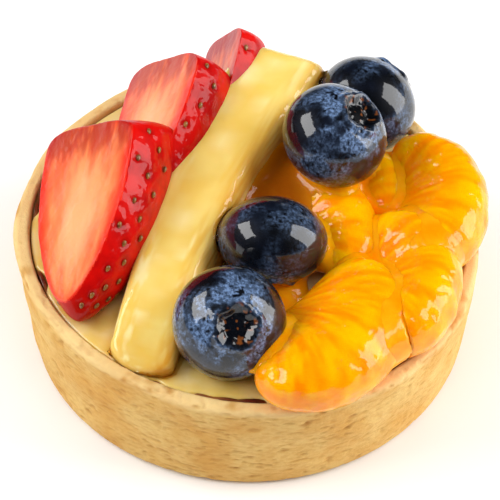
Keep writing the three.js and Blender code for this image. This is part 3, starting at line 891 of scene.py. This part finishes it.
def make_seeds(berry, frames, material):
    rings = seed_rings()
    quads, triangles = loft_faces(*rings.shape[:2])
    tip = np.array([(SEED_HALF_LENGTH, 0, 0)])
    seed = np.concatenate([tip, rings.reshape(-1, 3), -tip])
    points = []
    for placing in frames:
        sunk = (placing[0] - SEED_SUNK * placing[1][2], placing[1])
        points.append(to_tart(berry["frame"], to_tart(sunk, seed)))
    shift = len(seed) * np.arange(len(frames))[:, None, None]
    all_quads = (quads + shift).reshape(-1, 4)
    all_triangles = (triangles + shift).reshape(-1, 3)
    piece = make_piece(berry["name"] + "_seeds", np.concatenate(points), all_quads, all_triangles, material,
                       "strawberry")
    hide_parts(berry["name"])


def make_strawberry(berry, others, seed, materials):
    points = strawberry_skin(berry, eased_shares(STRAWBERRY_RINGS), turns(STRAWBERRY_SIDES))
    frames = seed_frames(berry, others)
    nearest = np.full(points.shape[:2], 1e3)
    for at, _ in frames:
        nearest = np.minimum(nearest, np.linalg.norm(points - at, axis=-1))
    dimple = np.exp(-((nearest / DIMPLE_SIZE) ** 2))
    swell = 0.25 * noise(points, 6, seed) + 0.06 * noise(points, 1.6, seed + 1)
    outwards = points * (0, 1, 1) / np.maximum(np.hypot(points[..., 1], points[..., 2]), 0.1)[..., None]
    points = points + outwards * (swell - DIMPLE_DEPTH * dimple)[..., None]
    on_cut = points * (1, 1, 0)
    face_wave = 0.12 * noise(on_cut, (5, 3, 1), seed + 2) + 0.03 * noise(on_cut, 1.1, seed + 3)
    level = berry["cut"] + face_wave
    rounding = np.maximum(CUT_EDGE - np.abs(points[..., 2] - level), 0) ** 2 / (4 * CUT_EDGE)
    points[..., 2] = np.minimum(points[..., 2], level) - rounding
    on_face = smoothstep(points[..., 2] - level, -0.35, -0.12)
    ends = np.array([(0, 0, min(0, berry["cut"])), (berry["length"], 0, min(0, berry["cut"]))])
    world = to_tart(berry["frame"], points)
    first, last = to_tart(berry["frame"], ends)
    piece = loft(berry["name"] + "_flesh", first, world, last, materials["skin"], "strawberry")
    piece.data.materials.append(materials["flesh"])
    faces = np.zeros(len(piece.data.polygons), np.int32)
    quads = (STRAWBERRY_RINGS - 1) * STRAWBERRY_SIDES
    face_share = (on_face[:-1] + on_face[1:]) / 2
    face_share = (face_share + np.roll(face_share, -1, axis=1)) / 2
    faces[:quads] = face_share.ravel() > 0.5
    piece.data.polygons.foreach_set("material_index", faces)
    piece.data.update()
    paint_face(piece, berry, points, dimple, seed)
    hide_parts(berry["name"])
    make_seeds(berry, frames, materials["seed"])


def paint_face(piece, berry, points, dimple, seed):
    """The cut face's paler heart, fibres that lean out from it, red edge and darker stem end."""
    along = np.clip(strawberry_share(berry, points), 0, 1)
    half = np.sqrt(np.maximum(strawberry_radius(berry, along) ** 2 - berry["cut"] ** 2, 0.01))
    across = points[..., 1] / half
    wander = 0.2 * noise(points, 5, seed + 4)
    heart = 1 - smoothstep(np.hypot((along - 0.5) / 0.42, across / 0.75) + wander, 0.15, 0.95)
    fibre_place = stack(points[..., 0] + 0.9 * np.abs(points[..., 1]), points[..., 1] * 0.5, 0)
    streaks = smoothstep(rough_noise(fibre_place, (4.5, 0.9, 1), seed + 6), -0.5, 0.6)
    rim = smoothstep(np.abs(across) + 0.4 * wander, 0.66, 1.0)
    stem = 1 - smoothstep(along + 0.3 * wander, 0.02, 0.36)
    fibres = rough_noise(fibre_place, (5, 0.7, 1), seed + 8)
    dark = np.maximum(stem, 0.7 - berry["pale"]) * smoothstep(fibres + 0.9 * stem, 0.1, 0.9)
    tip = smoothstep(along, 0.86, 1.0)
    dark = 0.85 * dark + 0.45 * tip + 0.6 * max(0.85 - berry["pale"], 0)
    edge = np.clip(rim + 0.5 * tip, 0, 1)
    # The skin is darkened in the dimples round the seeds as painted shade.
    paint_loft(piece, heart=berry["pale"] * heart, streaks=0.8 * streaks, edge=edge,
               dark=np.clip(dark, 0, 1), dimple=0.7 * dimple, tip=tip)


# The mandarin segments
SEGMENT_RINGS = 132
SEGMENT_SIDES = 112
SAC_WIDTH = 1.25


def make_segment(segment, neighbours, seed, material):
    reach = segment["reach"]
    span = math.radians(segment["span"])
    share = -np.cos(np.pi * (np.arange(SEGMENT_RINGS) + 1) / (SEGMENT_RINGS + 1))[:, None]
    turn = turns(SEGMENT_SIDES)
    size = segment_taper(share) * segment_section(turn)
    bend = span * share * np.ones_like(turn)
    across = size * np.cos(turn)
    out = reach + np.where(across < 0, segment["inner"], segment["width"]) * across
    height = segment["height"] * size * np.sin(turn) - INNER_DROOP * np.minimum(across, 0) ** 2
    local = stack(out * np.cos(bend), out * np.sin(bend), height)
    sac_place = stack(bend * reach + 0.12 * out, 0.3 * out, 0.35 * height)
    sacs = rough_noise(sac_place, SAC_WIDTH, seed, layers=2)
    lumps = noise(local, 3.6, seed + 2)
    middle = stack(reach * np.cos(bend), reach * np.sin(bend), 0)
    outwards = directions(local - middle)
    fade = smoothstep(1 - np.abs(share), 0, 0.12)
    local = local + outwards * ((0.17 * sacs + 0.25 * lumps) * fade)[..., None]
    heart = np.broadcast_to(np.array([reach, 0, 0], float), local.shape)
    world, give = press(to_tart(segment["frame"], local), to_tart(segment["frame"], heart), neighbours)
    world[..., 2] = np.maximum(world[..., 2], support_top(world) + 0.1)
    end_bends = span * np.array([-1, 1])
    ends = to_tart(segment["frame"], stack(reach * np.cos(end_bends), reach * np.sin(end_bends), 0))
    ends, _ = press(ends, to_tart(segment["frame"], heart[0, :2]), neighbours)
    piece = loft(segment["name"] + "_flesh", ends[0], world, ends[1], material, "mandarin")
    # Painted shade: the hollow inner side, the flanks near the custard and the pressed places are darkened.
    inner = 1 - smoothstep(across, -0.9, -0.1)
    low = 1 - smoothstep(world[..., 2] - support_top(world), 0, 4)
    deep = np.clip(0.6 * inner + 0.5 * low + 0.4 * smoothstep(give, 0, 0.05), 0, 1)
    paint_loft(piece, sacs=smoothstep(sacs, -0.5, 0.6), deep=deep)
    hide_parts(segment["name"])


# The peach slice
PEACH_RINGS = 210
PEACH_SIDES = 96
PEACH_UNDER = 24


def make_peach(material):
    share = eased_shares(PEACH_RINGS)
    half_width, height = peach_size(share)
    turn = np.pi * np.arange(PEACH_SIDES + 1) / PEACH_SIDES
    power = 2 / PEACH_SQUARENESS
    across = np.sign(np.cos(turn)) * np.abs(np.cos(turn)) ** power
    up = np.abs(np.sin(turn)) ** power
    under = -1 + 2 * (np.arange(PEACH_UNDER) + 1) / (PEACH_UNDER + 1)
    across = np.concatenate([across, under])
    up = np.concatenate([up, np.zeros(PEACH_UNDER)])
    sideways = half_width * across
    local = stack(share * PEACH["length"], sideways + peach_bow(share), height * up)
    strand = noise(local, (26, 0.9, 0.9), 61) + 0.6 * noise(local, (14, 0.4, 0.4), 62)
    lumps = rough_noise(local, (9, 3.5, 3.5), 64)
    outwards = directions(stack(0, sideways, local[..., 2] - 0.4 * height))
    fade = smoothstep(share, 0, 0.06) * smoothstep(1 - share, 0, 0.06) * smoothstep(up, 0, 0.4)
    local = local + outwards * ((0.03 * strand + 0.15 * lumps) * fade)[..., None]
    world = to_tart(PEACH["frame"], local)
    heart = stack(local[..., 0], peach_bow(share), PEACH["height"] / 2)
    world, give = press(world, to_tart(PEACH["frame"], heart), BERRIES)
    ends = to_tart(PEACH["frame"], np.array([(0, 0, 0.8), (PEACH["length"], 0, 2)]))
    piece = loft("peach_slice_flesh", ends[0], world, ends[1], material, "peach")
    # Painted shade: the shaded right side, the low parts and the pressed places turn amber, more so along the
    # fibres.
    right_side = smoothstep(-across, 0.3, 0.95)
    low = 1 - smoothstep(local[..., 2], 0, 5)
    fibres = smoothstep(strand, -0.8, 0.8)
    amber = right_side * (0.3 + 0.5 * fibres) + 0.4 * low + 0.4 * smoothstep(give, 0, 0.05)
    # Painted highlights: pale patches on the lit top, kept off the shaded right side.
    pale = 0.8 * smoothstep(rough_noise(local, (9, 1.3, 1.3), 66), 0.1, 0.6) * (1 - right_side)
    paint_loft(piece, streaks=0.6 * fibres, amber=np.clip(amber, 0, 1), pale=pale)
    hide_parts("peach_slice")


# The clear glaze in the creases between the pieces, and the amber juice round the mandarins
FILLING_CELL = 0.4
FILLING_DEPTH = 0.3
CREASE_MARGIN = 0.12
GLAZE_BLEND = 2.4
GLAZE_RADIUS = 37.2
GLAZE_UNDER_SKIN = 0.45
JUICE_BLEND = 3.4
JUICE_REACH = 2.5
JUICE_UNDER_SKIN = 0.55
STRAWBERRY_CLEAR = 0.4
POOLS = [
    dict(at=np.array([5.6, 7.0, 24.6]), size=np.array([8.2, 11.0, 5.2])),
    dict(at=np.array([5.5, -15.5, 22.4]), size=np.array([5.5, 5.5, 2.6])),
]


def smooth_union(distances, blend):
    """The distance to all the pieces at once, with their creases filled, and to the nearest one."""
    total = distances[0]
    nearest = distances[0]
    for other in distances[1:]:
        share = np.maximum(blend - np.abs(total - other), 0) / blend
        total = np.minimum(total, other) - share * share * blend / 4
        nearest = np.minimum(nearest, other)
    return total, nearest


def glaze_field(points):
    """Below zero where there is glaze."""
    fruits = [PEACH] + BERRIES + SEGMENTS
    distances = [points[..., 2] - support_top(points)] + [distance_to(fruit, points) for fruit in fruits]
    filled, nearest = smooth_union(distances, GLAZE_BLEND)
    depth = FILLING_DEPTH - 0.1 * noise(points, 4, 71)
    crease = nearest - filled
    out = from_axis(points) / roundness(angle_of(points)) - GLAZE_RADIUS
    clear = -distance_to_nearest(STRAWBERRIES, points) - STRAWBERRY_CLEAR
    parts = [filled + depth, depth - CREASE_MARGIN - crease, -nearest - GLAZE_UNDER_SKIN, out, clear]
    return np.max(parts, axis=0)


def pool_distance(pool, points):
    return (np.linalg.norm((points - pool["at"]) / pool["size"], axis=-1) - 1) * pool["size"][2]


def juice_field(points):
    """Below zero where there is juice."""
    mandarins = [distance_to(segment, points) for segment in SEGMENTS]
    pools = [pool_distance(pool, points) for pool in POOLS]
    others = [distance_to(fruit, points) for fruit in [PEACH] + BERRIES]
    filled, _ = smooth_union(mandarins + pools + others, JUICE_BLEND)
    nearest = np.min(mandarins + others, axis=0)
    depth = FILLING_DEPTH - 0.1 * noise(points, 4, 73)
    reach = np.min(mandarins + pools, axis=0) - JUICE_REACH
    under = support_top(points) - 0.3 - points[..., 2]
    inside = np.min(mandarins, axis=0) + JUICE_UNDER_SKIN
    crease_or_inside = np.minimum(depth - CREASE_MARGIN - (nearest - filled), inside)
    return np.max([filled + depth, crease_or_inside, reach, under], axis=0)


def surface_net(field, low, cell):
    """A closed mesh round the places where a grid of numbers is below zero."""
    inside = field < 0
    corners = list(np.ndindex(2, 2, 2))
    size = np.array(field.shape) - 1
    parts = [tuple(slice(c, c + n) for c, n in zip(corner, size)) for corner in corners]
    count = sum(inside[part].astype(int) for part in parts)
    mixed = (count > 0) & (count < 8)
    number = np.full(mixed.shape, -1)
    number[mixed] = np.arange(mixed.sum())
    sums = np.zeros((mixed.sum(), 3))
    hits = np.zeros(mixed.sum())
    for a in range(8):
        for b in range(a + 1, 8):
            step = np.subtract(corners[b], corners[a])
            if step.sum() != 1 or np.abs(step).sum() != 1:
                continue
            from_value, to_value = field[parts[a]][mixed], field[parts[b]][mixed]
            crossed = (from_value < 0) != (to_value < 0)
            share = np.where(crossed, from_value / np.where(crossed, from_value - to_value, 1), 0)
            sums += crossed[:, None] * (np.array(corners[a]) + share[:, None] * step)
            hits += crossed
    points = low + cell * (np.argwhere(mixed) + sums / hits[:, None])
    quads = []
    for axis in range(3):
        u, v = (axis + 1) % 3, (axis + 2) % 3
        step = np.eye(3, dtype=int)
        first = np.moveaxis(inside, axis, 0)[:-1]
        second = np.moveaxis(inside, axis, 0)[1:]
        edges = np.argwhere(np.moveaxis(first != second, 0, axis))
        at_u, at_v = edges[:, u], edges[:, v]
        edges = edges[(at_u > 0) & (at_v > 0) & (at_u < size[u]) & (at_v < size[v])]
        ring = [edges - step[u] - step[v], edges - step[v], edges, edges - step[u]]
        face = np.stack([number[tuple(cells.T)] for cells in ring], axis=-1)
        outward = inside[tuple(edges.T)]
        face[~outward] = face[~outward][:, ::-1]
        quads.append(face)
    return points, np.concatenate(quads)


def make_filling(name, field, low, high, material, slot):
    axes = [np.arange(a, b, FILLING_CELL) for a, b in zip(low, high)]
    grid = np.stack(np.meshgrid(*axes, indexing="ij"), axis=-1)
    points, quads = surface_net(field(grid), np.array(low), FILLING_CELL)
    piece = make_piece(name, points, quads, np.zeros((0, 3), int), material, slot)
    # Painted shade, with the deeper amber of thick juice, towards the pool between the peach and the top
    # blueberry.
    paint(piece, deep=1 - smoothstep(pool_distance(POOLS[0], points), -0.3, 3.5))


# The table, the light and the camera
TABLE_HALF = 1500
TABLE_CELLS = 24
LIGHTS_AIM = 0.025
CAMERA_ELEVATION = math.radians(49.87)
CAMERA_DISTANCE = 0.5
CAMERA_AIM = 0.014


def make_floor(material):
    side = np.linspace(-TABLE_HALF, TABLE_HALF, TABLE_CELLS + 1)
    x, y = np.meshgrid(side, side, indexing="ij")
    points = stack(x, y, 0).reshape(-1, 3)
    row = TABLE_CELLS + 1
    cell = np.arange(TABLE_CELLS)[:, None] * row + np.arange(TABLE_CELLS)
    quads = stack(cell, cell + row, cell + row + 1, cell + 1).reshape(-1, 4)
    mesh = bpy.data.meshes.new("table")
    mesh.from_pydata((points * MM).tolist(), [], quads.tolist())
    mesh.materials.append(material)
    table = bpy.data.objects.new("table", mesh)
    bpy.context.scene.collection.objects.link(table)


def softbox(name, towards, distance, width, height, power):
    """A soft light that faces the tart from a direction."""
    light = bpy.data.lights.new(name, "AREA")
    light.shape = "RECTANGLE"
    light.size = width
    light.size_y = height
    light.energy = power
    lamp = bpy.data.objects.new(name, light)
    back = Vector(unit(towards))
    lamp.location = Vector((0, 0, LIGHTS_AIM)) + back * distance
    lamp.rotation_mode = "QUATERNION"
    lamp.rotation_quaternion = (-back).to_track_quat("-Z", "Y")
    bpy.context.scene.collection.objects.link(lamp)
    return lamp


def light_scene():
    world = bpy.data.worlds.new("studio")
    world.use_nodes = True
    background = world.node_tree.nodes["Background"]
    background.inputs["Color"].default_value = (1, 1, 1, 1)
    background.inputs["Strength"].default_value = 0.2
    world.cycles_visibility.glossy = False
    bpy.context.scene.world = world
    softbox("window_right", (0.93, 0.0, 0.42), 0.6, 0.42, 0.62, 4.4)
    softbox("window_left", (-0.78, 0.0, 0.6), 0.6, 0.52, 0.28, 3.0)
    fill = softbox("fill_above", (0.0, -0.2, 1.0), 0.8, 0.8, 0.8, 3.0)
    fill.visible_glossy = False


def make_camera():
    away = CAMERA_DISTANCE * math.cos(CAMERA_ELEVATION)
    above = CAMERA_DISTANCE * math.sin(CAMERA_ELEVATION)
    data = bpy.data.cameras.new("camera")
    data.sensor_width = 36
    data.lens = 206
    data.shift_x = 0.002
    data.shift_y = 0.0198
    camera = bpy.data.objects.new("camera", data)
    camera.location = (0, -away, CAMERA_AIM + above)
    camera.rotation_euler = (math.pi / 2 - CAMERA_ELEVATION, 0, 0)
    bpy.context.scene.collection.objects.link(camera)
    bpy.context.scene.camera = camera
    bpy.context.scene.view_settings.view_transform = "Standard"


make_camera()
place_fruit()
make_crust(crust_material())
make_lining(chocolate_material())
make_custard(custard_material())
blueberry_skin = blueberry_material()
for number, blueberry in enumerate(BERRIES):
    make_blueberry(blueberry, 100 + 13 * number, blueberry_skin)
strawberry_materials = dict(
    skin=strawberry_skin_material(), flesh=strawberry_flesh_material(), seed=seed_material())
for number, strawberry in enumerate(STRAWBERRIES):
    others = [other for other in STRAWBERRIES if other is not strawberry] + [PEACH]
    make_strawberry(strawberry, others, 200 + 13 * number, strawberry_materials)
make_peach(peach_material())
mandarin_flesh = mandarin_material()
for number, mandarin in enumerate(SEGMENTS):
    make_segment(mandarin, SEGMENTS[:number] + [PEACH] + BERRIES, 300 + 13 * number, mandarin_flesh)
make_filling("clear_glaze", glaze_field, (-40, -40, 20.6), (40, 41, 46), glaze_material(), "custard")
make_filling("amber_juice", juice_field, (-16, -40, 20.6), (40, 36, 40), juice_material(), "mandarin")
make_floor(floor_material())
light_scene()
